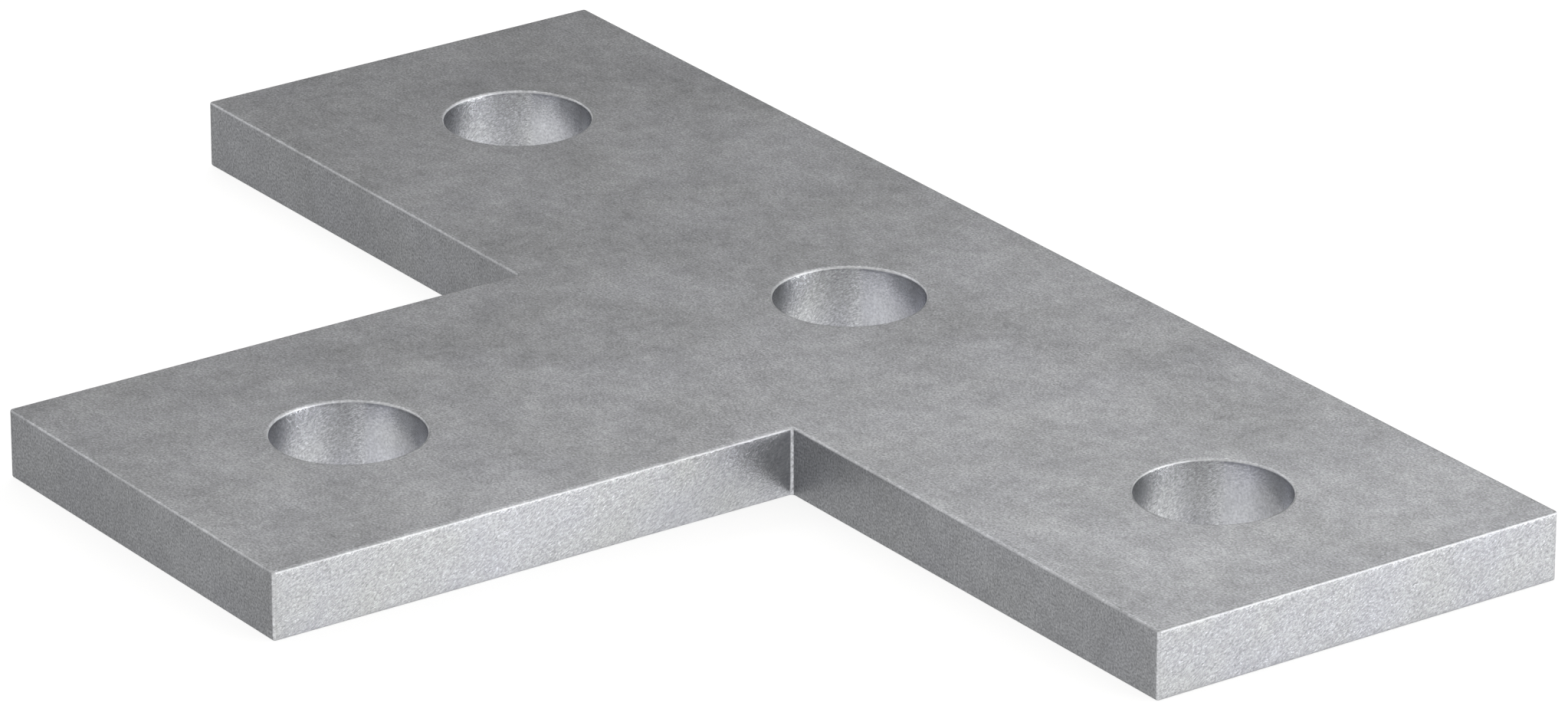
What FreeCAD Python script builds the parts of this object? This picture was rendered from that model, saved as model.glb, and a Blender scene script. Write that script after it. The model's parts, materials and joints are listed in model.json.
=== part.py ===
import FreeCAD, Part
import os
from enum import IntEnum

import Sketcher

# Flat T-shaped connecting plate for steel framing channel: one piece of thick steel with four bolt holes.
# A bar carries three holes in a row and a stem, at right angles to it, carries the fourth.
# The origin is the centre of the bar's middle hole, on the underside. +X runs along the bar, the stem points
# along -Y, and +Z is up through the plate. Lengths are in millimetres.

NODE = "tee_plate"
PARTS_FOLDER = "parts"

# The driving dimensions, each with what it measures.
SIZES = (
    ("plate_thickness", 6.0, "thickness of the plate"),
    ("bar_width", 40.0, "width of the bar, whose holes lie on its centre line"),
    ("bar_pitch", 50.0, "spacing of the bar's holes"),
    ("bar_end", 19.0, "from the centre of the bar's last hole to the end of the bar"),
    ("stem_width", 40.0, "width of the stem, whose hole lies on its centre line"),
    ("stem_pitch", 50.0, "from the bar's middle hole to the stem's hole"),
    ("stem_end", 20.0, "from the centre of the stem's hole to the end of the stem"),
    ("hole_diameter", 13.0, "clearance hole for a 12 mm bolt"),
    ("corner_radius", 0.3, "rounding of the upright corners, outside and inside"),
    ("edge_radius", 0.2, "broken edge round both faces and every hole"),
)

BAR_HOLES = 3

# How near two heights or two directions must be to count as the same.
SAME = 1e-4


class Point(IntEnum):
    """A sketch's numbers for the points of a line or a circle."""

    START = 1
    END = 2
    CENTRE = 3


class Axis(IntEnum):
    """A sketch's numbers for its own two axes."""

    X = -1
    Y = -2


# The sketch's origin, as the geometry and the point that a constraint names.
ORIGIN = (Axis.X, Point.START)


def make_sheet(doc):
    """Write the driving dimensions into a spreadsheet, one row each, and give each cell its name."""
    sheet = doc.addObject("Spreadsheet::Sheet", "Sizes")
    for row, (name, value, meaning) in enumerate(SIZES, start=1):
        sheet.set(f"A{row}", name)
        sheet.set(f"B{row}", str(value))
        sheet.set(f"C{row}", meaning)
        sheet.setAlias(f"B{row}", name)
    doc.recompute()
    return sheet


def origin_feature(body, role):
    """Return the body's own origin plane or axis that has this role."""
    return next(feature for feature in body.Origin.OriginFeatures if feature.Role == role)


def make_sketch(body, name, height=None):
    """Add a sketch on the underside, or parallel to it at the height that an expression gives."""
    sketch = body.newObject("Sketcher::SketchObject", name)
    sketch.AttachmentSupport = [(origin_feature(body, "XY_Plane"), "")]
    sketch.MapMode = "FlatFace"
    if height:
        sketch.setExpression("AttachmentOffset.Base.z", height)
    return sketch


def constrain(sketch, kind, *items):
    """Add one constraint to a sketch and return its number."""
    return sketch.addConstraint(Sketcher.Constraint(kind, *items))


def dimension(sketch, name, expression, kind, *items):
    """Add a named dimension to a sketch and tie it to the spreadsheet."""
    sketch.renameConstraint(constrain(sketch, kind, *items), name)
    sketch.setExpression(f"Constraints.{name}", expression)


def draw_outline(sketch, sheet):
    """Draw the T: eight lines, mirrored about the stem's centre line."""
    half_length = sheet.bar_pitch + sheet.bar_end
    half_width = sheet.bar_width / 2
    half_stem = sheet.stem_width / 2
    reach = sheet.stem_pitch + sheet.stem_end
    corners = (
        (-half_length, half_width),
        (half_length, half_width),
        (half_length, -half_width),
        (half_stem, -half_width),
        (half_stem, -reach),
        (-half_stem, -reach),
        (-half_stem, -half_width),
        (-half_length, -half_width),
    )
    points = [FreeCAD.Vector(x, y, 0) for x, y in corners]
    ends = points[1:] + points[:1]
    lines = [sketch.addGeometry(Part.LineSegment(*pair), False) for pair in zip(points, ends)]
    back, right_end, right_shoulder, stem_right, stem_tip, stem_left, left_shoulder, left_end = lines

    for line, following in zip(lines, lines[1:] + lines[:1]):
        constrain(sketch, "Coincident", line, Point.END, following, Point.START)
    for line in (right_shoulder, left_shoulder):
        constrain(sketch, "Horizontal", line)
    for line in (right_end, stem_right, stem_left, left_end):
        constrain(sketch, "Vertical", line)
    for line in (back, stem_tip):
        constrain(sketch, "Symmetric", line, Point.START, line, Point.END, Axis.Y)
    constrain(sketch, "Horizontal", right_shoulder, Point.END, left_shoulder, Point.START)

    whole_bar = (back, Point.START, back, Point.END, 2 * half_length)
    across_bar = (right_end, Point.END, right_end, Point.START, 2 * half_width)
    centre_to_back = (*ORIGIN, back, Point.START, half_width)
    across_stem = (stem_tip, Point.END, stem_tip, Point.START, 2 * half_stem)
    centre_to_tip = (stem_tip, Point.START, *ORIGIN, reach)
    bar_length = f"{BAR_HOLES - 1} * Sizes.bar_pitch + 2 * Sizes.bar_end"
    dimension(sketch, "bar_length", bar_length, "DistanceX", *whole_bar)
    dimension(sketch, "bar_width", "Sizes.bar_width", "DistanceY", *across_bar)
    dimension(sketch, "centre_to_back", "Sizes.bar_width / 2", "DistanceY", *centre_to_back)
    dimension(sketch, "stem_width", "Sizes.stem_width", "DistanceX", *across_stem)
    dimension(sketch, "stem_reach", "Sizes.stem_pitch + Sizes.stem_end", "DistanceY", *centre_to_tip)


def draw_hole(sketch, sheet, axis, distance, expression):
    """Draw one hole's circle on the negative side of a sketch axis, as far out as the expression says."""
    along_bar = axis == Axis.X
    centre = FreeCAD.Vector(-distance, 0, 0) if along_bar else FreeCAD.Vector(0, -distance, 0)
    up = FreeCAD.Vector(0, 0, 1)
    circle = sketch.addGeometry(Part.Circle(centre, up, sheet.hole_diameter / 2), False)
    constrain(sketch, "PointOnObject", circle, Point.CENTRE, axis)
    to_middle = (circle, Point.CENTRE, *ORIGIN, distance)
    dimension(sketch, "to_middle_hole", expression, "DistanceX" if along_bar else "DistanceY", *to_middle)
    dimension(sketch, "diameter", "Sizes.hole_diameter", "Diameter", circle, sheet.hole_diameter)


def must_cut(feature, base):
    """Stop with a message if a feature took no material off the one before it."""
    if feature.Shape.Volume >= base.Shape.Volume:
        raise RuntimeError(f"{feature.Label} removed nothing")


def drill(doc, body, sketch, name):
    """Drill through the plate, down from the upper face, where the sketch has its circle."""
    doc.recompute()
    undrilled = body.Tip
    hole = body.newObject("PartDesign::Hole", name)
    hole.Profile = sketch
    hole.Threaded = False
    hole.DepthType = "ThroughAll"
    hole.setExpression("Diameter", "Sizes.hole_diameter")
    doc.recompute()
    must_cut(hole, undrilled)
    return hole


def repeat_along_bar(doc, body, hole, name):
    """Repeat the bar's first hole along +X, so that the row is centred on the middle hole."""
    row = body.newObject("PartDesign::LinearPattern", name)
    row.Originals = [hole]
    row.Direction = (origin_feature(body, "X_Axis"), [""])
    row.Occurrences = BAR_HOLES
    row.setExpression("Length", f"{BAR_HOLES - 1} * Sizes.bar_pitch")
    body.Tip = row
    doc.recompute()
    must_cut(row, hole)
    return row


def round_edges(doc, body, name, base, wanted, radius):
    """Round every edge of a feature that the wanted test picks, to the radius that an expression gives."""
    fillet = body.newObject("PartDesign::Fillet", name)
    picked = [f"Edge{i}" for i, edge in enumerate(base.Shape.Edges, start=1) if wanted(edge)]
    fillet.Base = (base, picked)
    fillet.setExpression("Radius", radius)
    doc.recompute()
    must_cut(fillet, base)
    return fillet


def is_upright(edge):
    """Tell whether an edge runs straight up through the plate."""
    if not isinstance(edge.Curve, Part.Line):
        return False
    return abs(abs(edge.Curve.Direction.z) - 1) < SAME


def lies_in_a_face(edge, thickness):
    """Tell whether an edge bounds the underside or the upper face."""
    low, high = edge.BoundBox.ZMin, edge.BoundBox.ZMax
    return any(abs(low - z) < SAME and abs(high - z) < SAME for z in (0.0, thickness))


def build_plate(doc, sheet):
    """Model the plate: the padded T, its rounded corners, the four holes, and the broken edges."""
    body = doc.addObject("PartDesign::Body", "Plate")
    body.Label = NODE

    outline = make_sketch(body, "Outline")
    draw_outline(outline, sheet)
    pad = body.newObject("PartDesign::Pad", "PlateStock")
    pad.Profile = outline
    pad.setExpression("Length", "Sizes.plate_thickness")
    doc.recompute()

    round_edges(doc, body, "Corners", pad, is_upright, "Sizes.corner_radius")

    bar_sketch = make_sketch(body, "BarHoleCentre", "Sizes.plate_thickness")
    draw_hole(bar_sketch, sheet, Axis.X, sheet.bar_pitch, "Sizes.bar_pitch")
    bar_hole = drill(doc, body, bar_sketch, "BarHole")
    repeat_along_bar(doc, body, bar_hole, "BarHoleRow")

    stem_sketch = make_sketch(body, "StemHoleCentre", "Sizes.plate_thickness")
    draw_hole(stem_sketch, sheet, Axis.Y, sheet.stem_pitch, "Sizes.stem_pitch")
    stem_hole = drill(doc, body, stem_sketch, "StemHole")

    bounds_a_face = lambda edge: lies_in_a_face(edge, sheet.plate_thickness)
    body.Tip = round_edges(doc, body, "BrokenEdges", stem_hole, bounds_a_face, "Sizes.edge_radius")
    doc.recompute()
    return body


def check(doc, bodies):
    """Stop with a message if an object failed, a sketch is loose, or a sub-part is not one closed solid."""
    for item in doc.Objects:
        if "Invalid" in item.State or "Error" in item.State:
            raise RuntimeError(f"{item.Label} failed: {item.State}")
        if item.TypeId == "Sketcher::SketchObject" and not item.FullyConstrained:
            raise RuntimeError(f"{item.Label} is not fully constrained")
    for body in bodies:
        shape = body.Shape
        if shape.isNull() or not shape.isValid():
            raise RuntimeError(f"{body.Label} has no valid shape")
        if len(shape.Solids) != 1 or not shape.Solids[0].isClosed():
            raise RuntimeError(f"{body.Label} is not one closed solid")


def main():
    """Build the plate, check it and write its STEP file."""
    doc = FreeCAD.newDocument("ConnectingPlate")
    sheet = make_sheet(doc)
    bodies = [build_plate(doc, sheet)]
    check(doc, bodies)
    os.makedirs(PARTS_FOLDER, exist_ok=True)
    for body in bodies:
        body.Shape.exportStep(os.path.join(PARTS_FOLDER, f"{body.Label}.step"))
        box = body.Shape.BoundBox
        print(
            f"{body.Label}: {box.XLength:.2f} x {box.YLength:.2f} x {box.ZLength:.2f} mm,"
            f" volume {body.Shape.Volume:.1f} mm3, {len(body.Shape.Faces)} faces"
        )


main()
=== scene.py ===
"""Looks of the T-shaped connecting plate: its galvanised finish, the floor, the lamps and the camera.

Lengths are in metres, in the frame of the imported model: the origin is the centre of the bar's middle hole
on the underside, +X runs along the bar, the stem points along -Y and +Z is up.
"""

import json
import logging
import math
from dataclasses import dataclass
from enum import Enum

import bpy
import numpy as np
from mathutils import Matrix, Vector
from mathutils.geometry import delaunay_2d_cdt


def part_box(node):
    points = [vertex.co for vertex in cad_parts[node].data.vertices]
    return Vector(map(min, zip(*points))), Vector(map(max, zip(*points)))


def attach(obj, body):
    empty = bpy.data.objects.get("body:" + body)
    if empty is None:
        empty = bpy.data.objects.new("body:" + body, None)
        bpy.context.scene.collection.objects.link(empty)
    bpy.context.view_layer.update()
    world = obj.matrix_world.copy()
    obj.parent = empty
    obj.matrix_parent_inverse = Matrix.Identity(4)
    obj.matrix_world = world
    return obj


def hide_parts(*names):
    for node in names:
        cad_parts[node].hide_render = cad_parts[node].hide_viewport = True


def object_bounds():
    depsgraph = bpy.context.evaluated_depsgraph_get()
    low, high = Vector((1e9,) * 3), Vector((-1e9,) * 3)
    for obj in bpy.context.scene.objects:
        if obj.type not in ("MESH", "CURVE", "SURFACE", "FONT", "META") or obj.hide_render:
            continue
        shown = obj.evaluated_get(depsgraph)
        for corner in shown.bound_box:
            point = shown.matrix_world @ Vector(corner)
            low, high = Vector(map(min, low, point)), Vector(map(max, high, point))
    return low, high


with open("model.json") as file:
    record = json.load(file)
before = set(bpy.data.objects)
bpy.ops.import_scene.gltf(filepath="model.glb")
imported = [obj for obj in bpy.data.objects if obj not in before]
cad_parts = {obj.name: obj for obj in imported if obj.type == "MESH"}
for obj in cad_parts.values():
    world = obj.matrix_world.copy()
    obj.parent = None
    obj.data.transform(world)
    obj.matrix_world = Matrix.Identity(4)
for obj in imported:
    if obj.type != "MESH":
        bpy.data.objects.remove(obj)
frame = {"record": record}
cad_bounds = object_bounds()

MM = 0.001
NODE = "tee_plate"
BODY = "root"
PIECE = "galvanised_tee_plate"

# What the triangulation of the face gives back, and how near two of its points must be to count as one.
FILLED_TRIANGLES = 1
SAME_POINT = 1e-9

# The value about which Blender's noise swings.
NOISE_MIDDLE = 0.5

QUARTER_TURN = math.pi / 2

Socket = bpy.types.NodeSocket
Sockets = bpy.types.NodeOutputs

log = logging.getLogger("connecting_plate")


class MeshMark(str, Enum):
    """Names of the attributes that the plate's mesh carries for its finish."""

    OUTWARD = "outward"
    BORE = "bore"
    WALL = "wall"
    COARSE = "coarse"
    BROKEN_EDGE = "broken_edge"
    CORNER = "corner"


class Graph:
    """A node tree under construction, for a material or for Geometry Nodes."""

    def __init__(self, tree: bpy.types.NodeTree) -> None:
        """Start from an empty tree.

        Args:
            tree: The node tree to fill. Whatever it holds is removed.
        """
        self.tree = tree
        tree.nodes.clear()

    def put(self, socket: Socket, value: object) -> None:
        """Feed a socket from another socket, or write a plain value on it.

        Args:
            socket: The input to feed.
            value: An output socket, or a value that the input can hold.
        """
        if isinstance(value, Socket):
            self.tree.links.new(value, socket)
        else:
            socket.default_value = value

    def add(
        self, kind: str, inputs: dict[str | int, object] | None = None, **settings: object
    ) -> bpy.types.Node:
        """Add a node.

        Args:
            kind: The node's type name.
            inputs: What goes on its inputs, by socket name or number.
            **settings: The node's own settings.

        Returns:
            The new node.
        """
        node = self.tree.nodes.new(kind)
        for name, value in settings.items():
            setattr(node, name, value)
        for key, value in (inputs or {}).items():
            self.put(node.inputs[key], value)
        return node

    def math(self, operation: str, first: object, second: object = 0.0, clamp: bool = False) -> Socket:
        """Add a Math node.

        Args:
            operation: The sum to do, such as ADD.
            first: The first number or socket.
            second: The second number or socket, where the operation has one.
            clamp: Whether to keep the result between 0 and 1.

        Returns:
            The node's result.
        """
        node = self.add("ShaderNodeMath", {0: first, 1: second}, operation=operation, use_clamp=clamp)
        return node.outputs[0]

    def vector_math(self, operation: str, first: object, second: object = (0, 0, 0)) -> Socket:
        """Add a Vector Math node.

        Args:
            operation: The sum to do, such as ADD. With SCALE, the second operand is a number.
            first: The first vector or socket.
            second: The second operand.

        Returns:
            The node's vector result.
        """
        node = self.add("ShaderNodeVectorMath", {0: first}, operation=operation)
        self.put(node.inputs["Scale" if operation == "SCALE" else 1], second)
        return node.outputs["Vector"]

    def blend(self, share: object, first: object, second: object) -> Socket:
        """Mix two numbers.

        Args:
            share: 0 for the first and 1 for the second.
            first: The first number or socket.
            second: The second number or socket.

        Returns:
            The node's result.
        """
        return self.add("ShaderNodeMix", {0: share, 2: first, 3: second}, data_type="FLOAT").outputs[0]

    def remap(
        self, value: object, low: float, high: float, to_low: float = 0.0, to_high: float = 1.0
    ) -> Socket:
        """Map a range of values onto another, held at its ends.

        Args:
            value: The number or socket to map.
            low: The value that becomes to_low.
            high: The value that becomes to_high.
            to_low: The result at low.
            to_high: The result at high.

        Returns:
            The node's result.
        """
        inputs = {"Value": value, "From Min": low, "From Max": high, "To Min": to_low, "To Max": to_high}
        return self.add("ShaderNodeMapRange", inputs).outputs["Result"]


@dataclass(frozen=True)
class Noise:
    """A noise pattern.

    Attributes:
        size: The size of its largest features.
        octaves: How many times finer noise is added.
        gain: The strength of each finer noise against the one before.
    """

    size: float
    octaves: float
    gain: float

    def add(self, graph: Graph, place: Socket) -> Socket:
        """Add the noise to a material.

        Args:
            graph: The material's graph.
            place: The coordinates to read.

        Returns:
            The noise, about NOISE_MIDDLE.
        """
        inputs = {"Vector": place, "Scale": 1 / self.size, "Detail": self.octaves, "Roughness": self.gain}
        return graph.add("ShaderNodeTexNoise", inputs).outputs["Fac"]


class SurfaceMarks:
    """The mesh's marks as a material reads them, each from 0 to 1.

    Attributes:
        coarse: The coarse walls, which face along the bar.
        in_hole: A hole's wall with its broken edges.
        edge: The broken edges.
        wall: The upright walls.
        corner: The outline's upright corners.
        bore: A hole's wall without its broken edges.
        rough: The coarse walls and the holes' walls together.
    """

    def __init__(self, graph: Graph) -> None:
        """Read the marks.

        Args:
            graph: The material's graph.
        """
        self.coarse = self._read(graph, MeshMark.COARSE)
        self.in_hole = self._read(graph, MeshMark.BORE)
        self.edge = self._read(graph, MeshMark.BROKEN_EDGE)
        self.wall = self._read(graph, MeshMark.WALL)
        self.corner = self._read(graph, MeshMark.CORNER)
        self.bore = graph.math("MULTIPLY", self.in_hole, self.wall)
        self.rough = graph.math("MAXIMUM", self.coarse, self.bore)

    @staticmethod
    def _read(graph: Graph, mark: MeshMark) -> Socket:
        """Read one mark."""
        return graph.add("ShaderNodeAttribute", attribute_name=mark.value).outputs["Fac"]


@dataclass(frozen=True)
class ZincFinish:
    """Hot-dip zinc on steel: cloudy matt grey faces, with a brighter, coarser skin on ends and in holes.

    Sizes of features are in metres. Tones are linear grey levels, and every swing is a share of the tone.
    """

    name: str = "hot_dip_zinc"
    face_tone: float = 0.275
    coarse_tone: float = 0.52
    bore_tone: float = 0.53
    smooth_bore_tone: float = 0.445
    # Painted highlights: the broken edges, and the holes' rims more so, are lighter than the faces.
    edge_highlight_tone: float = 0.50
    rim_highlight_tone: float = 0.61
    # Painted highlight: a bright line down each upright corner of the outline.
    corner_highlight_tone: float = 0.68
    # Painted reflection: the grey of the faces lightens steadily towards +X.
    painted_reflection_drift: float = 0.08
    painted_reflection_reach: float = 70 * MM
    # Painted reflection bands: round each hole's wall the grey swings with the way the wall faces.
    bore_reflection_bands: float = 6.0
    bore_reflection_band_turn: float = math.radians(2.7)
    bore_reflection_band_swing: float = 0.21
    red_share: float = 0.985
    blue_share: float = 1.035
    smooth_bore_blue_share: float = 1.06
    glancing_tint: float = 0.5
    edge_glancing_tint: float = 0.0
    bore_glancing_tint: float = 1.0
    clouds: Noise = Noise(size=18 * MM, octaves=6.0, gain=1.0)
    cloud_swing: float = 1.5
    wall_cloud_swing: float = 0.7
    coarse_cloud_swing: float = 0.38
    fine_clouds: Noise = Noise(size=1.0 * MM, octaves=2.0, gain=1.0)
    fine_cloud_swing: float = 0.3
    coarse_fine_cloud_swing: float = 0.1
    grain: Noise = Noise(size=0.20 * MM, octaves=1.0, gain=0.6)
    grain_swing: float = 1.5
    coarse_grain_swing: float = 0.45
    bore_grain_swing: float = 0.85
    smooth_bore_grain_swing: float = 0.70
    grain_height: float = 0.010 * MM
    skin: Noise = Noise(size=0.28 * MM, octaves=2.0, gain=0.8)
    skin_stretch: float = 3.4
    skin_slant: float = 0.50
    skin_swing: float = 1.6
    skin_height: float = 0.025 * MM
    tint: Noise = Noise(size=8.0 * MM, octaves=2.0, gain=0.6)
    tint_swing: float = 0.04
    coarse_tint_swing: float = 0.14
    roughness: float = 0.40
    coarse_roughness: float = 0.24
    bore_roughness: float = 0.25
    edge_roughness: float = 0.60
    roughness_swing: float = 0.10

    def material(self) -> bpy.types.Material:
        """Build the material.

        Returns:
            The material, with its nodes in place.
        """
        made = bpy.data.materials.new(self.name)
        made.use_nodes = True
        graph = Graph(made.node_tree)
        marks = SurfaceMarks(graph)
        place = graph.add("ShaderNodeTexCoord").outputs["Object"]
        clouds = self.clouds.add(graph, place)
        grain = self.grain.add(graph, place)
        skin = self.skin.add(graph, self._slanted(graph, place))
        skin_share = graph.blend(marks.edge, marks.coarse, 0.0)
        mottle = self._mottle(graph, marks, place, clouds, grain)
        tone = graph.math("MULTIPLY", self._plain_tone(graph, marks, place), mottle)
        skin_swing = graph.math("MULTIPLY", skin_share, self.skin_swing)
        tone = graph.math("MULTIPLY", tone, self._swing(graph, skin, skin_swing))
        shader = graph.add(
            "ShaderNodeBsdfPrincipled",
            {
                "Base Color": self._colour(graph, marks, place, tone),
                "Metallic": 1.0,
                "Specular Tint": self._glancing(graph, marks),
                "Roughness": self._roughness(graph, marks, clouds),
                "Normal": self._relief(graph, grain, skin, skin_share),
            },
        )
        output = graph.add("ShaderNodeOutputMaterial")
        graph.put(output.inputs["Surface"], shader.outputs["BSDF"])
        return made

    def _swing(self, graph: Graph, noise: Socket, share: object) -> Socket:
        """Turn a noise about NOISE_MIDDLE into a factor about 1."""
        centred = graph.math("SUBTRACT", noise, NOISE_MIDDLE)
        return graph.math("ADD", graph.math("MULTIPLY", centred, share), 1.0)

    def _plain_tone(self, graph: Graph, marks: SurfaceMarks, place: Socket) -> Socket:
        """Give each part of the plate its own grey, with its painted reflection and painted highlights,
        before any pattern but the holes' painted reflection bands.

        Args:
            graph: The material's graph.
            marks: The mesh's marks.
            place: The object's coordinates.

        Returns:
            The tone.
        """
        along = graph.add("ShaderNodeSeparateXYZ", {0: place}).outputs["X"]
        # Painted reflection: the faces' grey grows lighter along +X.
        painted_reflection = graph.remap(along, -self.painted_reflection_reach, self.painted_reflection_reach, 1 - self.painted_reflection_drift, 1 + self.painted_reflection_drift)
        tone = graph.blend(marks.coarse, graph.math("MULTIPLY", painted_reflection, self.face_tone), self.coarse_tone)
        bore_tone = graph.blend(marks.coarse, self.smooth_bore_tone, self.bore_tone)
        # Painted reflection bands round the holes' walls.
        tone = graph.blend(marks.bore, tone, graph.math("MULTIPLY", self._painted_reflection_bands(graph), bore_tone))
        # Painted highlights on the broken edges, lighter still round the holes' rims.
        tone = graph.blend(marks.edge, tone, graph.blend(marks.in_hole, self.edge_highlight_tone, self.rim_highlight_tone))
        # Painted highlight down the outline's upright corners.
        return graph.blend(marks.corner, tone, self.corner_highlight_tone)

    def _painted_reflection_bands(self, graph: Graph) -> Socket:
        """Paint soft upright bands of reflection round a hole's wall, lighter and darker with the way the
        wall faces.

        Args:
            graph: The material's graph.

        Returns:
            The painted reflection bands, as a factor about 1.
        """
        normal = graph.add("ShaderNodeNewGeometry").outputs["Normal"]
        facing = graph.add("ShaderNodeSeparateXYZ", {0: normal}).outputs
        facing_angle = graph.math("ARCTAN2", facing["Y"], facing["X"])
        turn = graph.math("SUBTRACT", facing_angle, self.bore_reflection_band_turn)
        wave = graph.math("COSINE", graph.math("MULTIPLY", turn, self.bore_reflection_bands))
        return graph.math("ADD", graph.math("MULTIPLY", wave, self.bore_reflection_band_swing), 1.0)

    def _mottle(
        self, graph: Graph, marks: SurfaceMarks, place: Socket, clouds: Socket, grain: Socket
    ) -> Socket:
        """Work out how the clouds, the fine clouds and the grain lighten and darken each part.

        Args:
            graph: The material's graph.
            marks: The mesh's marks.
            place: The object's coordinates.
            clouds: The clouds' noise.
            grain: The fine grain's noise.

        Returns:
            A factor about 1.
        """
        wall_share = graph.blend(marks.coarse, self.wall_cloud_swing, self.coarse_cloud_swing)
        swing = self._swing(graph, clouds, graph.blend(marks.wall, self.cloud_swing, wall_share))
        fine_clouds = self.fine_clouds.add(graph, place)
        fine_share = graph.blend(marks.rough, self.fine_cloud_swing, self.coarse_fine_cloud_swing)
        swing = graph.math("MULTIPLY", swing, self._swing(graph, fine_clouds, fine_share))
        less_grain = graph.math("MAXIMUM", marks.coarse, marks.edge)
        grain_share = graph.blend(less_grain, self.grain_swing, self.coarse_grain_swing)
        bore_share = graph.blend(marks.coarse, self.smooth_bore_grain_swing, self.bore_grain_swing)
        grain_share = graph.blend(marks.bore, grain_share, bore_share)
        return graph.math("MULTIPLY", swing, self._swing(graph, grain, grain_share))

    def _colour(self, graph: Graph, marks: SurfaceMarks, place: Socket, tone: Socket) -> Socket:
        """Tint the grey slightly towards blue, more in patches and in the smooth half of the holes.

        Args:
            graph: The material's graph.
            marks: The mesh's marks.
            place: The object's coordinates.
            tone: The grey level.

        Returns:
            The colour.
        """
        tint_share = graph.blend(marks.rough, self.tint_swing, self.coarse_tint_swing)
        tint = self._swing(graph, self.tint.add(graph, place), tint_share)
        bore_blue_share = graph.blend(marks.coarse, self.smooth_bore_blue_share, self.blue_share)
        blue_share = graph.blend(marks.bore, self.blue_share, bore_blue_share)
        red = graph.math("MULTIPLY", tone, self.red_share)
        blue = graph.math("MULTIPLY", graph.math("MULTIPLY", tone, tint), blue_share)
        return graph.add("ShaderNodeCombineColor", {"Red": red, "Green": tone, "Blue": blue}).outputs[0]

    def _glancing(self, graph: Graph, marks: SurfaceMarks) -> Socket:
        """Work out how bright the metal stays where it is seen at a glancing angle.

        Args:
            graph: The material's graph.
            marks: The mesh's marks.

        Returns:
            The share of the full brightness.
        """
        glancing = graph.blend(marks.bore, self.glancing_tint, self.bore_glancing_tint)
        return graph.blend(marks.edge, glancing, self.edge_glancing_tint)

    def _roughness(self, graph: Graph, marks: SurfaceMarks, clouds: Socket) -> Socket:
        """Give each part of the plate its roughness, slightly glossier where the clouds are bright.

        Args:
            graph: The material's graph.
            marks: The mesh's marks.
            clouds: The clouds' noise.

        Returns:
            The roughness.
        """
        roughness = graph.blend(marks.coarse, self.roughness, self.coarse_roughness)
        roughness = graph.blend(marks.bore, roughness, self.bore_roughness)
        edges_and_corners = graph.math("MAXIMUM", marks.edge, marks.corner)
        roughness = graph.blend(edges_and_corners, roughness, self.edge_roughness)
        centred = graph.math("SUBTRACT", clouds, NOISE_MIDDLE)
        return graph.math("ADD", roughness, graph.math("MULTIPLY", centred, -self.roughness_swing))

    def _slanted(self, graph: Graph, place: Socket) -> Socket:
        """Slant and stretch the coordinates, so that the skin's wrinkles climb slantwise along the walls.

        Args:
            graph: The material's graph.
            place: The object's coordinates.

        Returns:
            The coordinates for the skin's noise.
        """
        axes = graph.add("ShaderNodeSeparateXYZ", {0: place}).outputs
        above = graph.math("SUBTRACT", axes["Z"], graph.math("MULTIPLY", axes["Y"], self.skin_slant))
        stretched = graph.math("MULTIPLY", above, self.skin_stretch)
        return graph.add("ShaderNodeCombineXYZ", {"X": axes["X"], "Y": axes["Y"], "Z": stretched}).outputs[0]

    def _relief(self, graph: Graph, grain: Socket, skin: Socket, skin_share: Socket) -> Socket:
        """Add the fine grain and the coarse skin as bump.

        Args:
            graph: The material's graph.
            grain: The fine grain's noise.
            skin: The coarse skin's noise.
            skin_share: How much of the coarse skin there is.

        Returns:
            The shading normal.
        """
        grain_bump = graph.add("ShaderNodeBump", {"Height": grain, "Distance": self.grain_height})
        skin_bump = graph.add(
            "ShaderNodeBump",
            {
                "Strength": skin_share,
                "Height": skin,
                "Distance": self.skin_height,
                "Normal": grain_bump.outputs["Normal"],
            },
        )
        return skin_bump.outputs["Normal"]


@dataclass(frozen=True)
class WhiteFloorFinish:
    """A pale floor that looks white, also in the metal, and keeps the object's shadow."""

    name: str = "pale_floor"
    colour: tuple[float, float, float] = (0.22, 0.22, 0.22)
    own_colour: tuple[float, float, float] = (1.0, 1.0, 1.0)
    own_white: float = 0.82

    def material(self) -> bpy.types.Material:
        """Build the material.

        Returns:
            The material: a plain matt colour, with some white of its own for the rays that show it.
        """
        made = bpy.data.materials.new(self.name)
        made.use_nodes = True
        graph = Graph(made.node_tree)
        matt = graph.add("ShaderNodeBsdfDiffuse", {"Color": (*self.colour, 1.0)})
        strength = graph.math("MULTIPLY", shown(graph), self.own_white)
        own = graph.add("ShaderNodeEmission", {"Color": (*self.own_colour, 1.0), "Strength": strength})
        both = graph.add("ShaderNodeAddShader", {0: matt.outputs[0], 1: own.outputs[0]})
        output = graph.add("ShaderNodeOutputMaterial")
        graph.put(output.inputs["Surface"], both.outputs[0])
        return made


def shown(graph: Graph) -> Socket:
    """Tell rays that show a background, straight or in metal or glass, from rays that only light things.

    Args:
        graph: The graph of the background's material or world.

    Returns:
        1 for a camera, glossy or transmission ray and 0 for any other.
    """
    rays = graph.add("ShaderNodeLightPath").outputs
    straight_or_mirrored = graph.math("MAXIMUM", rays["Is Camera Ray"], rays["Is Glossy Ray"])
    return graph.math("MAXIMUM", straight_or_mirrored, rays["Is Transmission Ray"])


@dataclass(frozen=True)
class Outline:
    """The plate's outline seen from above: a closed row of points for each edge of the sheet.

    Attributes:
        points: The points of all rows, in the plane.
        outward: At each point, the direction out of the steel.
        rows: The first and last index of each row.
    """

    points: np.ndarray
    outward: np.ndarray
    rows: tuple[tuple[int, int], ...]


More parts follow.
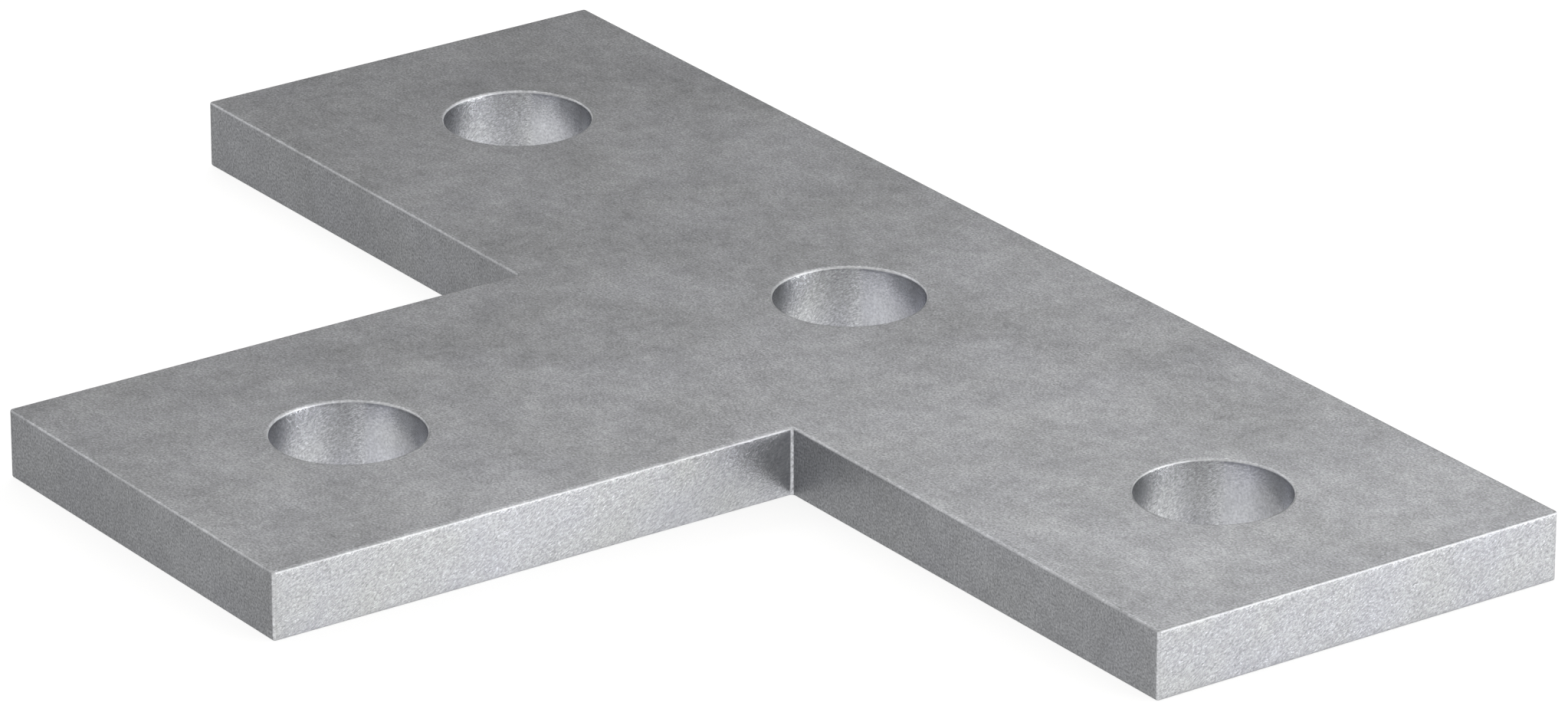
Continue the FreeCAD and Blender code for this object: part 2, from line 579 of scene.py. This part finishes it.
@dataclass
class ConnectingPlate:
    """The plate itself: one solid sheet of steel in the shape of a T, with its holes and broken edges."""

    low: Vector
    high: Vector
    bar_width: float
    stem_width: float
    holes: tuple[tuple[float, float], ...]
    hole_radius: float
    corner_radius: float = 0.3 * MM
    edge_radius: float = 0.2 * MM
    outline_spacing: float = 0.27 * MM
    corner_steps: int = 6
    edge_steps: int = 5
    wall_steps: int = 20
    face_spacing: float = 2.0 * MM
    face_margin: float = 0.9 * MM
    face_rim: float = 0.08 * MM
    relief_height: float = 0.003 * MM
    relief_size: float = 0.8 * MM
    seed: int = 7
    finish: ZincFinish = ZincFinish()

    @classmethod
    def from_frame(cls, bar_width: float = 40 * MM, stem_width: float = 40 * MM) -> "ConnectingPlate":
        """Take the plate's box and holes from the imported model.

        Args:
            bar_width: The width of the bar.
            stem_width: The width of the stem.

        Returns:
            The plate, ready to build.
        """
        low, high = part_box(NODE)
        bores = [mount for mount in frame["record"]["mounts"] if mount["kind"] == "bore"]
        holes = tuple((mount["pos_m"][0], mount["pos_m"][1]) for mount in bores)
        return cls(low, high, bar_width, stem_width, holes, bores[0]["dims"]["r_mm"] * MM)

    def outline(self) -> Outline:
        """Walk round the T and round each hole, with the steel on the left.

        Returns:
            The rows of points.
        """
        rows = [self._tee_row()] + [self._hole_row(centre) for centre in self.holes]
        ends = np.cumsum([len(points) for points, _ in rows])
        starts = np.concatenate(([0], ends[:-1]))
        return Outline(
            points=np.concatenate([points for points, _ in rows]),
            outward=np.concatenate([outward for _, outward in rows]),
            rows=tuple((int(start), int(end) - 1) for start, end in zip(starts, ends)),
        )

    def _tee_row(self) -> tuple[np.ndarray, np.ndarray]:
        """Make the T's own row, counter-clockwise.

        Returns:
            Its points, and the outward direction at each.
        """
        half_stem = self.stem_width / 2
        shoulder = self.high.y - self.bar_width
        corners = np.array(
            [
                (self.high.x, self.high.y),
                (self.low.x, self.high.y),
                (self.low.x, shoulder),
                (-half_stem, shoulder),
                (-half_stem, self.low.y),
                (half_stem, self.low.y),
                (half_stem, shoulder),
                (self.high.x, shoulder),
            ]
        )
        before, after = np.roll(corners, 1, axis=0), np.roll(corners, -1, axis=0)
        arcs = [self._rounded_corner(*three) for three in zip(before, corners, after)]
        points, outward = [], []
        for (arc, normals), (next_arc, _) in zip(arcs, arcs[1:] + arcs[:1]):
            points.append(arc)
            outward.append(normals)
            run = next_arc[0] - arc[-1]
            steps = max(1, round(float(np.linalg.norm(run)) / self.outline_spacing))
            share = np.arange(1, steps)[:, None] / steps
            points.append(arc[-1] + share * run)
            outward.append(np.repeat(normals[-1:], steps - 1, axis=0))
        return np.concatenate(points), np.concatenate(outward)

    def _rounded_corner(
        self, before: np.ndarray, corner: np.ndarray, after: np.ndarray
    ) -> tuple[np.ndarray, np.ndarray]:
        """Round one right-angled corner.

        Args:
            before: The corner before it.
            corner: The corner to round.
            after: The corner after it.

        Returns:
            The points of its arc, and the outward direction at each.
        """
        arriving = (corner - before) / np.linalg.norm(corner - before)
        leaving = (after - corner) / np.linalg.norm(after - corner)
        right = np.array([(arriving[1], -arriving[0]), (leaving[1], -leaving[0])])
        turns_left = float(arriving[0] * leaving[1] - arriving[1] * leaving[0]) > 0
        side = 1.0 if turns_left else -1.0
        centre = corner + self.corner_radius * (leaving - arriving)
        turn = np.linspace(0, QUARTER_TURN, self.corner_steps + 1)[:, None]
        outward = np.cos(turn) * right[0] + np.sin(turn) * right[1]
        return centre + side * self.corner_radius * outward, outward

    def _hole_row(self, centre: tuple[float, float]) -> tuple[np.ndarray, np.ndarray]:
        """Make the row round one hole, clockwise.

        Args:
            centre: The hole's centre.

        Returns:
            Its points, and the outward direction at each, which points to the hole's centre.
        """
        steps_in_quarter = round(QUARTER_TURN * self.hole_radius / self.outline_spacing)
        turn = -np.arange(4 * steps_in_quarter) * QUARTER_TURN / steps_in_quarter
        radial = np.stack((np.cos(turn), np.sin(turn)), axis=1)
        return np.array(centre) + self.hole_radius * radial, -radial

    def face_sheet(self, outline: Outline) -> bpy.types.Mesh:
        """Mesh the flat face inside the broken edges.

        Args:
            outline: The plate's outline.

        Returns:
            A flat mesh at the underside's height, facing up, whose edge points carry the outward direction.
        """
        edge = outline.points - self.edge_radius * outline.outward
        rim = outline.points - (self.edge_radius + self.face_rim) * outline.outward
        loops = []
        for first, last in outline.rows:
            indices = list(range(first, last + 1))
            loops += list(zip(indices, indices[1:] + indices[:1]))
        points = [Vector(point) for point in np.concatenate((edge, rim, self._inner_points()))]
        flat, _, triangles, *_ = delaunay_2d_cdt(points, loops, [], FILLED_TRIANGLES, SAME_POINT)
        middles = [sum((flat[i] for i in face), Vector((0, 0))) / 3 for face in triangles]
        faces = [face for face, middle in zip(triangles, middles) if not self._in_hole(middle)]
        mesh = bpy.data.meshes.new("face_sheet")
        mesh.from_pydata([(point.x, point.y, self.low.z) for point in flat], [], faces)
        outward = np.zeros((len(flat), 3), np.float32)
        outward[: len(edge), :2] = outline.outward
        mark = mesh.attributes.new(MeshMark.OUTWARD.value, "FLOAT_VECTOR", "POINT")
        mark.data.foreach_set("vector", outward.ravel())
        bore = np.zeros(len(flat), np.float32)
        first_in_hole = outline.rows[0][1] + 1
        bore[first_in_hole : len(edge)] = 1.0
        mark = mesh.attributes.new(MeshMark.BORE.value, "FLOAT", "POINT")
        mark.data.foreach_set("value", bore)
        mesh.materials.append(self.finish.material())
        return mesh

    def _in_hole(self, point: Vector) -> bool:
        """Tell whether a point of the plane lies inside a hole's broken edge."""
        mouth = self.hole_radius + self.edge_radius
        return any((point - Vector(centre)).length < mouth for centre in self.holes)

    def _inner_points(self) -> np.ndarray:
        """Spread points in rows over the face, clear of its edges.

        Returns:
            The points that lie well inside the steel.
        """
        row_height = self.face_spacing * math.sqrt(3) / 2
        rows = np.arange(self.low.y, self.high.y, row_height)
        columns = np.arange(self.low.x, self.high.x, self.face_spacing)
        shift = (np.arange(len(rows)) % 2)[:, None] * self.face_spacing / 2
        x = (columns[None, :] + shift).ravel()
        y = np.repeat(rows, len(columns))
        gap = self.edge_radius + self.face_margin
        shoulder = self.high.y - self.bar_width
        in_bar = (np.abs(x) < self.high.x - gap) & (y < self.high.y - gap) & (y > shoulder + gap)
        in_stem = (np.abs(x) < self.stem_width / 2 - gap) & (y < 0) & (y > self.low.y + gap)
        clear = [np.hypot(x - cx, y - cy) > self.hole_radius + gap for cx, cy in self.holes]
        return np.stack((x, y), axis=1)[(in_bar | in_stem) & np.all(clear, axis=0)]

    def build(self) -> bpy.types.Object:
        """Build the plate's mesh and dress it.

        Returns:
            The finished piece, at the origin.
        """
        sheet = self.face_sheet(self.outline())
        blank = bpy.data.objects.new("plate_blank", sheet)
        bpy.context.scene.collection.objects.link(blank)
        modifier = blank.modifiers.new("plate_from_sheet", "NODES")
        modifier.node_group = PlateTree().build()
        values = {
            "Thickness": self.high.z - self.low.z,
            "Edge Radius": self.edge_radius,
            "Edge Steps": self.edge_steps,
            "Wall Steps": self.wall_steps,
            "Relief Height": self.relief_height,
            "Relief Size": self.relief_size,
            "Seed": self.seed,
            "Finish": sheet.materials[0],
        }
        for item in modifier.node_group.interface.items_tree:
            if item.name in values:
                modifier[item.identifier] = values[item.name]
        shaped = blank.evaluated_get(bpy.context.evaluated_depsgraph_get())
        mesh = bpy.data.meshes.new_from_object(shaped)
        bpy.data.objects.remove(blank)
        mesh.name = PIECE
        piece = bpy.data.objects.new(PIECE, mesh)
        bpy.context.scene.collection.objects.link(piece)
        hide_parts(NODE)
        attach(piece, BODY)
        return piece


class PlateTree:
    """The Geometry Nodes tree that turns the flat face sheet into the whole plate.

    Each ramp is a pair: the value at which a mark starts, and the one from which it is full.

    Attributes:
        SIZES: The inputs that are lengths.
        COUNTS: The inputs that are whole numbers.
        WELD_DISTANCE: How near two points must lie to be welded.
        COARSE_RAMP: For how much more a wall faces along the bar than across it.
        WALL_UPPER_RAMP: For how far a surface faces up, where the wall ends at the upper face.
        WALL_LOWER_RAMP: The same, where it ends at the underside.
        EDGE_RAMP: For how far a surface slants between upright and level.
        CORNER_RAMP: For how far a wall faces along and across the bar at once.
        RELIEF_RAMP: For how level a surface is. The relief fades out towards the flat faces.
        RELIEF_OCTAVES: How many times finer noise is added to the relief.
    """

    SIZES = ("Thickness", "Edge Radius", "Relief Height", "Relief Size")
    COUNTS = ("Edge Steps", "Wall Steps", "Seed")
    WELD_DISTANCE = 1e-7
    COARSE_RAMP = (-0.06, 0.06)
    WALL_UPPER_RAMP = (0.5, 0.2)
    WALL_LOWER_RAMP = (-0.95, -0.6)
    EDGE_RAMP = (0.08, 0.20)
    CORNER_RAMP = (0.28, 0.46)
    RELIEF_RAMP = (0.9, 0.0)
    RELIEF_OCTAVES = 1.0

    def build(self) -> bpy.types.NodeTree:
        """Build the tree.

        Returns:
            The tree. It sweeps the broken edge and the wall down from the sheet's own edges, closes the
            plate with the same sheet turned over, and gives the walls their slight relief.
        """
        tree = bpy.data.node_groups.new("plate_from_sheet", "GeometryNodeTree")
        graph = Graph(tree)
        for name, direction in (("Geometry", "INPUT"), ("Geometry", "OUTPUT")):
            tree.interface.new_socket(name, in_out=direction, socket_type="NodeSocketGeometry")
        for name in self.SIZES:
            tree.interface.new_socket(name, in_out="INPUT", socket_type="NodeSocketFloat")
        for name in self.COUNTS:
            tree.interface.new_socket(name, in_out="INPUT", socket_type="NodeSocketInt")
        tree.interface.new_socket("Finish", in_out="INPUT", socket_type="NodeSocketMaterial")
        given = graph.add("NodeGroupInput").outputs
        walls = self._sweep(graph, given)
        underside = graph.add("GeometryNodeFlipFaces", {"Mesh": given["Geometry"]}).outputs["Mesh"]
        both = graph.add("GeometryNodeJoinGeometry")
        graph.put(both.inputs[0], walls)
        graph.put(both.inputs[0], underside)
        weld = {"Geometry": both.outputs[0], "Distance": self.WELD_DISTANCE}
        closed = graph.add("GeometryNodeMergeByDistance", weld)
        marked = self._add_marks(graph, closed.outputs[0])
        relieved = self._relieve(graph, marked, given)
        smooth = graph.add("GeometryNodeSetShadeSmooth", {"Geometry": relieved, "Shade Smooth": True})
        whole = graph.add("GeometryNodeRealizeInstances", {"Geometry": smooth.outputs[0]})
        dress = {"Geometry": whole.outputs[0], "Material": given["Finish"]}
        dressed = graph.add("GeometryNodeSetMaterial", dress)
        output = graph.add("NodeGroupOutput")
        graph.put(output.inputs[0], dressed.outputs[0])
        return tree

    def _section(self, graph: Graph, given: Sockets, step: object) -> tuple[Socket, Socket]:
        """Work out where a step of the edge's section lies.

        Args:
            graph: The tree's graph.
            given: The tree's inputs.
            step: The step's number, 0 at the upper face and the last at the underside.

        Returns:
            Two sockets: how far the section stands outside the sheet's edge, and its height.
        """
        radius, thickness = given["Edge Radius"], given["Thickness"]
        edge_steps, wall_steps = given["Edge Steps"], given["Wall Steps"]
        total = graph.math("ADD", graph.math("MULTIPLY", edge_steps, 2.0), wall_steps)
        upper = graph.math("DIVIDE", step, edge_steps, clamp=True)
        lower = graph.math("DIVIDE", graph.math("SUBTRACT", total, step), edge_steps, clamp=True)
        down = graph.math("DIVIDE", graph.math("SUBTRACT", step, edge_steps), wall_steps, clamp=True)
        upper_turn = graph.math("MULTIPLY", upper, QUARTER_TURN)
        lower_turn = graph.math("MULTIPLY", lower, QUARTER_TURN)
        sines = graph.math("ADD", graph.math("SINE", upper_turn), graph.math("SINE", lower_turn))
        out = graph.math("MULTIPLY", radius, graph.math("SUBTRACT", sines, 1.0))
        cosines = graph.math("SUBTRACT", graph.math("COSINE", upper_turn), graph.math("COSINE", lower_turn))
        round_part = graph.math("MULTIPLY", radius, graph.math("SUBTRACT", cosines, 1.0))
        wall = graph.math("SUBTRACT", thickness, graph.math("MULTIPLY", radius, 2.0))
        wall_part = graph.math("MULTIPLY", wall, down)
        height = graph.math("SUBTRACT", graph.math("ADD", thickness, round_part), wall_part)
        return out, height

    def _sweep(self, graph: Graph, given: Sockets) -> Socket:
        """Lift the sheet to the upper face and sweep the edge's section down from its edges, step by step.

        Args:
            graph: The tree's graph.
            given: The tree's inputs.

        Returns:
            The upper face with the walls.
        """
        lift = graph.add("ShaderNodeCombineXYZ", {"Z": given["Thickness"]}).outputs[0]
        upper = graph.add("GeometryNodeSetPosition", {"Geometry": given["Geometry"], "Offset": lift})
        neighbours = graph.add("GeometryNodeInputMeshEdgeNeighbors").outputs["Face Count"]
        one_face = {2: neighbours, 3: 1}
        open_edge = graph.add("FunctionNodeCompare", one_face, data_type="INT", operation="EQUAL")
        total = graph.math("ADD", graph.math("MULTIPLY", given["Edge Steps"], 2.0), given["Wall Steps"])

        start = graph.add("GeometryNodeRepeatInput")
        end = graph.add("GeometryNodeRepeatOutput")
        start.pair_with_output(end)
        end.repeat_items.clear()
        end.repeat_items.new("GEOMETRY", "Geometry")
        end.repeat_items.new("BOOLEAN", "Edge")
        graph.put(start.inputs["Iterations"], total)
        graph.put(start.inputs["Geometry"], upper.outputs[0])
        graph.put(start.inputs["Edge"], open_edge.outputs["Result"])

        step = start.outputs["Iteration"]
        out, height = self._section(graph, given, step)
        next_out, next_height = self._section(graph, given, graph.math("ADD", step, 1.0))
        outward = graph.add(
            "GeometryNodeInputNamedAttribute", {"Name": MeshMark.OUTWARD.value}, data_type="FLOAT_VECTOR"
        ).outputs["Attribute"]
        sideways = graph.vector_math("SCALE", outward, graph.math("SUBTRACT", next_out, out))
        climb = graph.math("SUBTRACT", next_height, height)
        rise = graph.add("ShaderNodeCombineXYZ", {"Z": climb}).outputs[0]
        extruded = graph.add(
            "GeometryNodeExtrudeMesh",
            {
                "Mesh": start.outputs["Geometry"],
                "Selection": start.outputs["Edge"],
                "Offset": graph.vector_math("ADD", sideways, rise),
            },
            mode="EDGES",
        )
        graph.put(end.inputs["Geometry"], extruded.outputs["Mesh"])
        graph.put(end.inputs["Edge"], extruded.outputs["Top"])
        return end.outputs["Geometry"]

    def _add_marks(self, graph: Graph, mesh: Socket) -> Socket:
        """Mark the walls, those that face along the bar, the broken edges and the outline's upright corners.

        Args:
            graph: The tree's graph.
            mesh: The closed plate.

        Returns:
            The plate with its marks.
        """
        normal = graph.add("GeometryNodeInputNormal").outputs[0]
        facing = graph.add("ShaderNodeSeparateXYZ", {0: normal}).outputs
        along, across = (graph.math("ABSOLUTE", facing[axis]) for axis in ("X", "Y"))
        up = facing["Z"]
        coarse = graph.remap(graph.math("SUBTRACT", along, across), *self.COARSE_RAMP)
        wall = graph.math(
            "MULTIPLY", graph.remap(up, *self.WALL_UPPER_RAMP), graph.remap(up, *self.WALL_LOWER_RAMP)
        )
        slant = graph.math("MULTIPLY", up, graph.math("SUBTRACT", 1.0, up))
        marks = (
            (MeshMark.WALL, wall),
            (MeshMark.COARSE, graph.math("MULTIPLY", coarse, wall)),
            (MeshMark.BROKEN_EDGE, graph.remap(slant, *self.EDGE_RAMP)),
            (MeshMark.CORNER, self._upright_corner(graph, along, across)),
        )
        for mark, value in marks:
            stored = graph.add(
                "GeometryNodeStoreNamedAttribute",
                {"Geometry": mesh, "Name": mark.value, "Value": value},
                data_type="FLOAT",
                domain="POINT",
            )
            mesh = stored.outputs["Geometry"]
        return mesh

    def _upright_corner(self, graph: Graph, along: Socket, across: Socket) -> Socket:
        """Find the outline's upright corners, where the finish paints a bright highlight line.

        Args:
            graph: The tree's graph.
            along: How much the surface faces along the bar, either way.
            across: How much it faces across the bar, either way.

        Returns:
            1 in the middle of a corner and 0 elsewhere.
        """
        name = {"Name": MeshMark.BORE.value}
        in_hole = graph.add("GeometryNodeInputNamedAttribute", name, data_type="FLOAT")
        outline = graph.math("SUBTRACT", 1.0, in_hole.outputs["Attribute"])
        corner = graph.remap(graph.math("MULTIPLY", along, across), *self.CORNER_RAMP)
        return graph.math("MULTIPLY", corner, outline)

    def _relieve(self, graph: Graph, mesh: Socket, given: Sockets) -> Socket:
        """Press a slight relief into the walls, never past their own surface.

        Args:
            graph: The tree's graph.
            mesh: The marked plate.
            given: The tree's inputs.

        Returns:
            The plate with its relief.
        """
        normal = graph.add("GeometryNodeInputNormal").outputs[0]
        up = graph.math("ABSOLUTE", graph.add("ShaderNodeSeparateXYZ", {0: normal}).outputs["Z"])
        wall = graph.remap(up, *self.RELIEF_RAMP)
        place = graph.add("GeometryNodeInputPosition").outputs[0]
        shift = graph.add("ShaderNodeCombineXYZ", {"X": given["Seed"]}).outputs[0]
        noise = graph.add(
            "ShaderNodeTexNoise",
            {
                "Vector": graph.vector_math("ADD", place, shift),
                "Scale": graph.math("DIVIDE", 1.0, given["Relief Size"]),
                "Detail": self.RELIEF_OCTAVES,
            },
        ).outputs["Fac"]
        depth = graph.math("MULTIPLY", graph.math("MULTIPLY", noise, wall), given["Relief Height"])
        inward = graph.vector_math("SCALE", normal, graph.math("MULTIPLY", depth, -1.0))
        return graph.add("GeometryNodeSetPosition", {"Geometry": mesh, "Offset": inward}).outputs[0]


@dataclass(frozen=True)
class Floor:
    """The plain pale floor that the plate lies on.

    Attributes:
        half_size: Half the length of its sides.
        gap: How far it lies under the plate.
        finish: Its finish.
    """

    half_size: float = 6.0
    gap: float = 0.01 * MM
    finish: WhiteFloorFinish = WhiteFloorFinish()

    def build(self) -> bpy.types.Object:
        """Build the floor just under the plate.

        Returns:
            The floor.
        """
        height = cad_bounds[0].z - self.gap
        signs = ((-1, -1), (1, -1), (1, 1), (-1, 1))
        corners = [(x * self.half_size, y * self.half_size, height) for x, y in signs]
        mesh = bpy.data.meshes.new("floor")
        mesh.from_pydata(corners, [], [(0, 1, 2, 3)])
        mesh.materials.append(self.finish.material())
        floor = bpy.data.objects.new("floor", mesh)
        bpy.context.scene.collection.objects.link(floor)
        return floor


@dataclass(frozen=True)
class SoftLamp:
    """A rectangular soft lamp that faces the plate.

    Attributes:
        name: The lamp's name.
        place: Where its centre hangs.
        size: The lengths of its sides.
        power: Its power in watts.
        along: The direction of its first side.
    """

    name: str
    place: tuple[float, float, float]
    size: tuple[float, float]
    power: float
    along: tuple[float, float, float] = (0.0, 1.0, 0.0)

    def build(self, target: Vector) -> bpy.types.Object:
        """Hang the lamp and turn it to the plate.

        Args:
            target: The point that the lamp faces.

        Returns:
            The lamp.
        """
        light = bpy.data.lights.new(self.name, "AREA")
        light.shape = "RECTANGLE"
        light.size, light.size_y = self.size
        light.energy = self.power
        back = (Vector(self.place) - target).normalized()
        side = (Vector(self.along) - back * back.dot(Vector(self.along))).normalized()
        turned = Matrix((side, back.cross(side), back)).transposed()
        lamp = bpy.data.objects.new(self.name, light)
        lamp.matrix_world = Matrix.Translation(self.place) @ turned.to_4x4()
        lamp.visible_camera = False
        bpy.context.scene.collection.objects.link(lamp)
        return lamp


@dataclass(frozen=True)
class Studio:
    """The plain soft light and the pale surroundings.

    Attributes:
        lamps: The lamps.
        colour: The colour of the surroundings.
        at_horizon: Their strength at the horizon and below it.
        overhead: Their strength straight above.
        rise_power: How late they brighten between the two. A higher power keeps a wider dim band.
    """

    lamps: tuple[SoftLamp, ...] = (
        SoftLamp(
            name="low_side",
            place=(0.80, 0.57, 0.18),
            size=(0.9, 0.3),
            power=6.5,
            along=(-0.57, 0.80, 0.0),
        ),
        SoftLamp(name="front_left", place=(-1.1, -0.6, 0.8), size=(0.6, 0.6), power=2.0),
        SoftLamp(
            name="slanting_strip",
            place=(-0.222, 0.159, 0.293),
            size=(0.33, 0.08),
            power=0.39,
            along=(0.37, 0.89, -0.28),
        ),
    )
    colour: tuple[float, float, float] = (1.0, 0.99, 0.97)
    at_horizon: float = 0.65
    overhead: float = 1.1
    rise_power: float = 2.0

    def build(self, target: Vector) -> None:
        """Set up the world, and hang the lamps.

        Args:
            target: The point that the lamps face.
        """
        world = bpy.data.worlds.new("pale_surroundings")
        world.use_nodes = True
        graph = Graph(world.node_tree)
        toward = graph.add("ShaderNodeTexCoord").outputs["Generated"]
        rise = graph.add("ShaderNodeSeparateXYZ", {0: toward}).outputs["Z"]
        lift = graph.math("POWER", graph.math("MAXIMUM", rise, 0.0), self.rise_power)
        strength = graph.blend(lift, self.at_horizon, self.overhead)
        light = {"Color": (*self.colour, 1.0), "Strength": strength}
        background = graph.add("ShaderNodeBackground", light)
        output = graph.add("ShaderNodeOutputWorld")
        graph.put(output.inputs["Surface"], background.outputs[0])
        bpy.context.scene.world = world
        for lamp in self.lamps:
            lamp.build(target)


@dataclass(frozen=True)
class PhotoCamera:
    """The camera at the photograph's angle, found from the plate's edges and hole rims.

    Attributes:
        azimuth: In degrees. 0 looks along +Y and 90 along -X.
        elevation: In degrees above the floor.
        distance: From the camera to the point that it looks at.
        looks_at: The point in the middle of the picture.
        focal_px: The focal length, in pixels of the photograph.
        image_px: The photograph's width and height in pixels.
        sensor_mm: The width of the sensor in millimetres.
        clip: The nearest and farthest distance that the camera sees.
    """

    azimuth: float = 54.755
    elevation: float = 22.824
    distance: float = 803.9 * MM
    looks_at: tuple[float, float, float] = (7.4 * MM, -11.95 * MM, 6.0 * MM)
    focal_px: float = 12698.7
    image_px: tuple[int, int] = (2046, 929)
    sensor_mm: float = 36.0
    clip: tuple[float, float] = (0.01, 50.0)

    def build(self) -> bpy.types.Object:
        """Create the camera and make it the scene's.

        Returns:
            The camera.
        """
        azimuth, elevation = math.radians(self.azimuth), math.radians(self.elevation)
        level = math.cos(elevation)
        back = Vector((math.sin(azimuth) * level, -math.cos(azimuth) * level, math.sin(elevation)))
        data = bpy.data.cameras.new("photo_camera")
        data.sensor_width = self.sensor_mm
        data.lens = self.focal_px / self.image_px[0] * self.sensor_mm
        data.clip_start, data.clip_end = self.clip
        camera = bpy.data.objects.new("photo_camera", data)
        camera.location = Vector(self.looks_at) + back * self.distance
        camera.rotation_euler = back.to_track_quat("Z", "Y").to_euler()
        bpy.context.scene.collection.objects.link(camera)
        bpy.context.scene.camera = camera
        return camera


def main() -> None:
    """Build the camera, the plate, the floor and the light, and report each."""
    logging.basicConfig(level=logging.INFO, format="%(name)s: %(message)s")
    bpy.context.scene.view_settings.view_transform = "Standard"
    camera = PhotoCamera().build()
    log.info("camera at %s", [round(value, 4) for value in camera.location])
    plate = ConnectingPlate.from_frame().build()
    log.info("%s has %d faces", plate.name, len(plate.data.polygons))
    floor = Floor().build()
    log.info("%s at height %.5f", floor.name, floor.data.vertices[0].co.z)
    studio = Studio()
    studio.build(target=(cad_bounds[0] + cad_bounds[1]) / 2)
    log.info("lamps: %s", [lamp.name for lamp in studio.lamps])


if __name__ == "__main__":
    main()
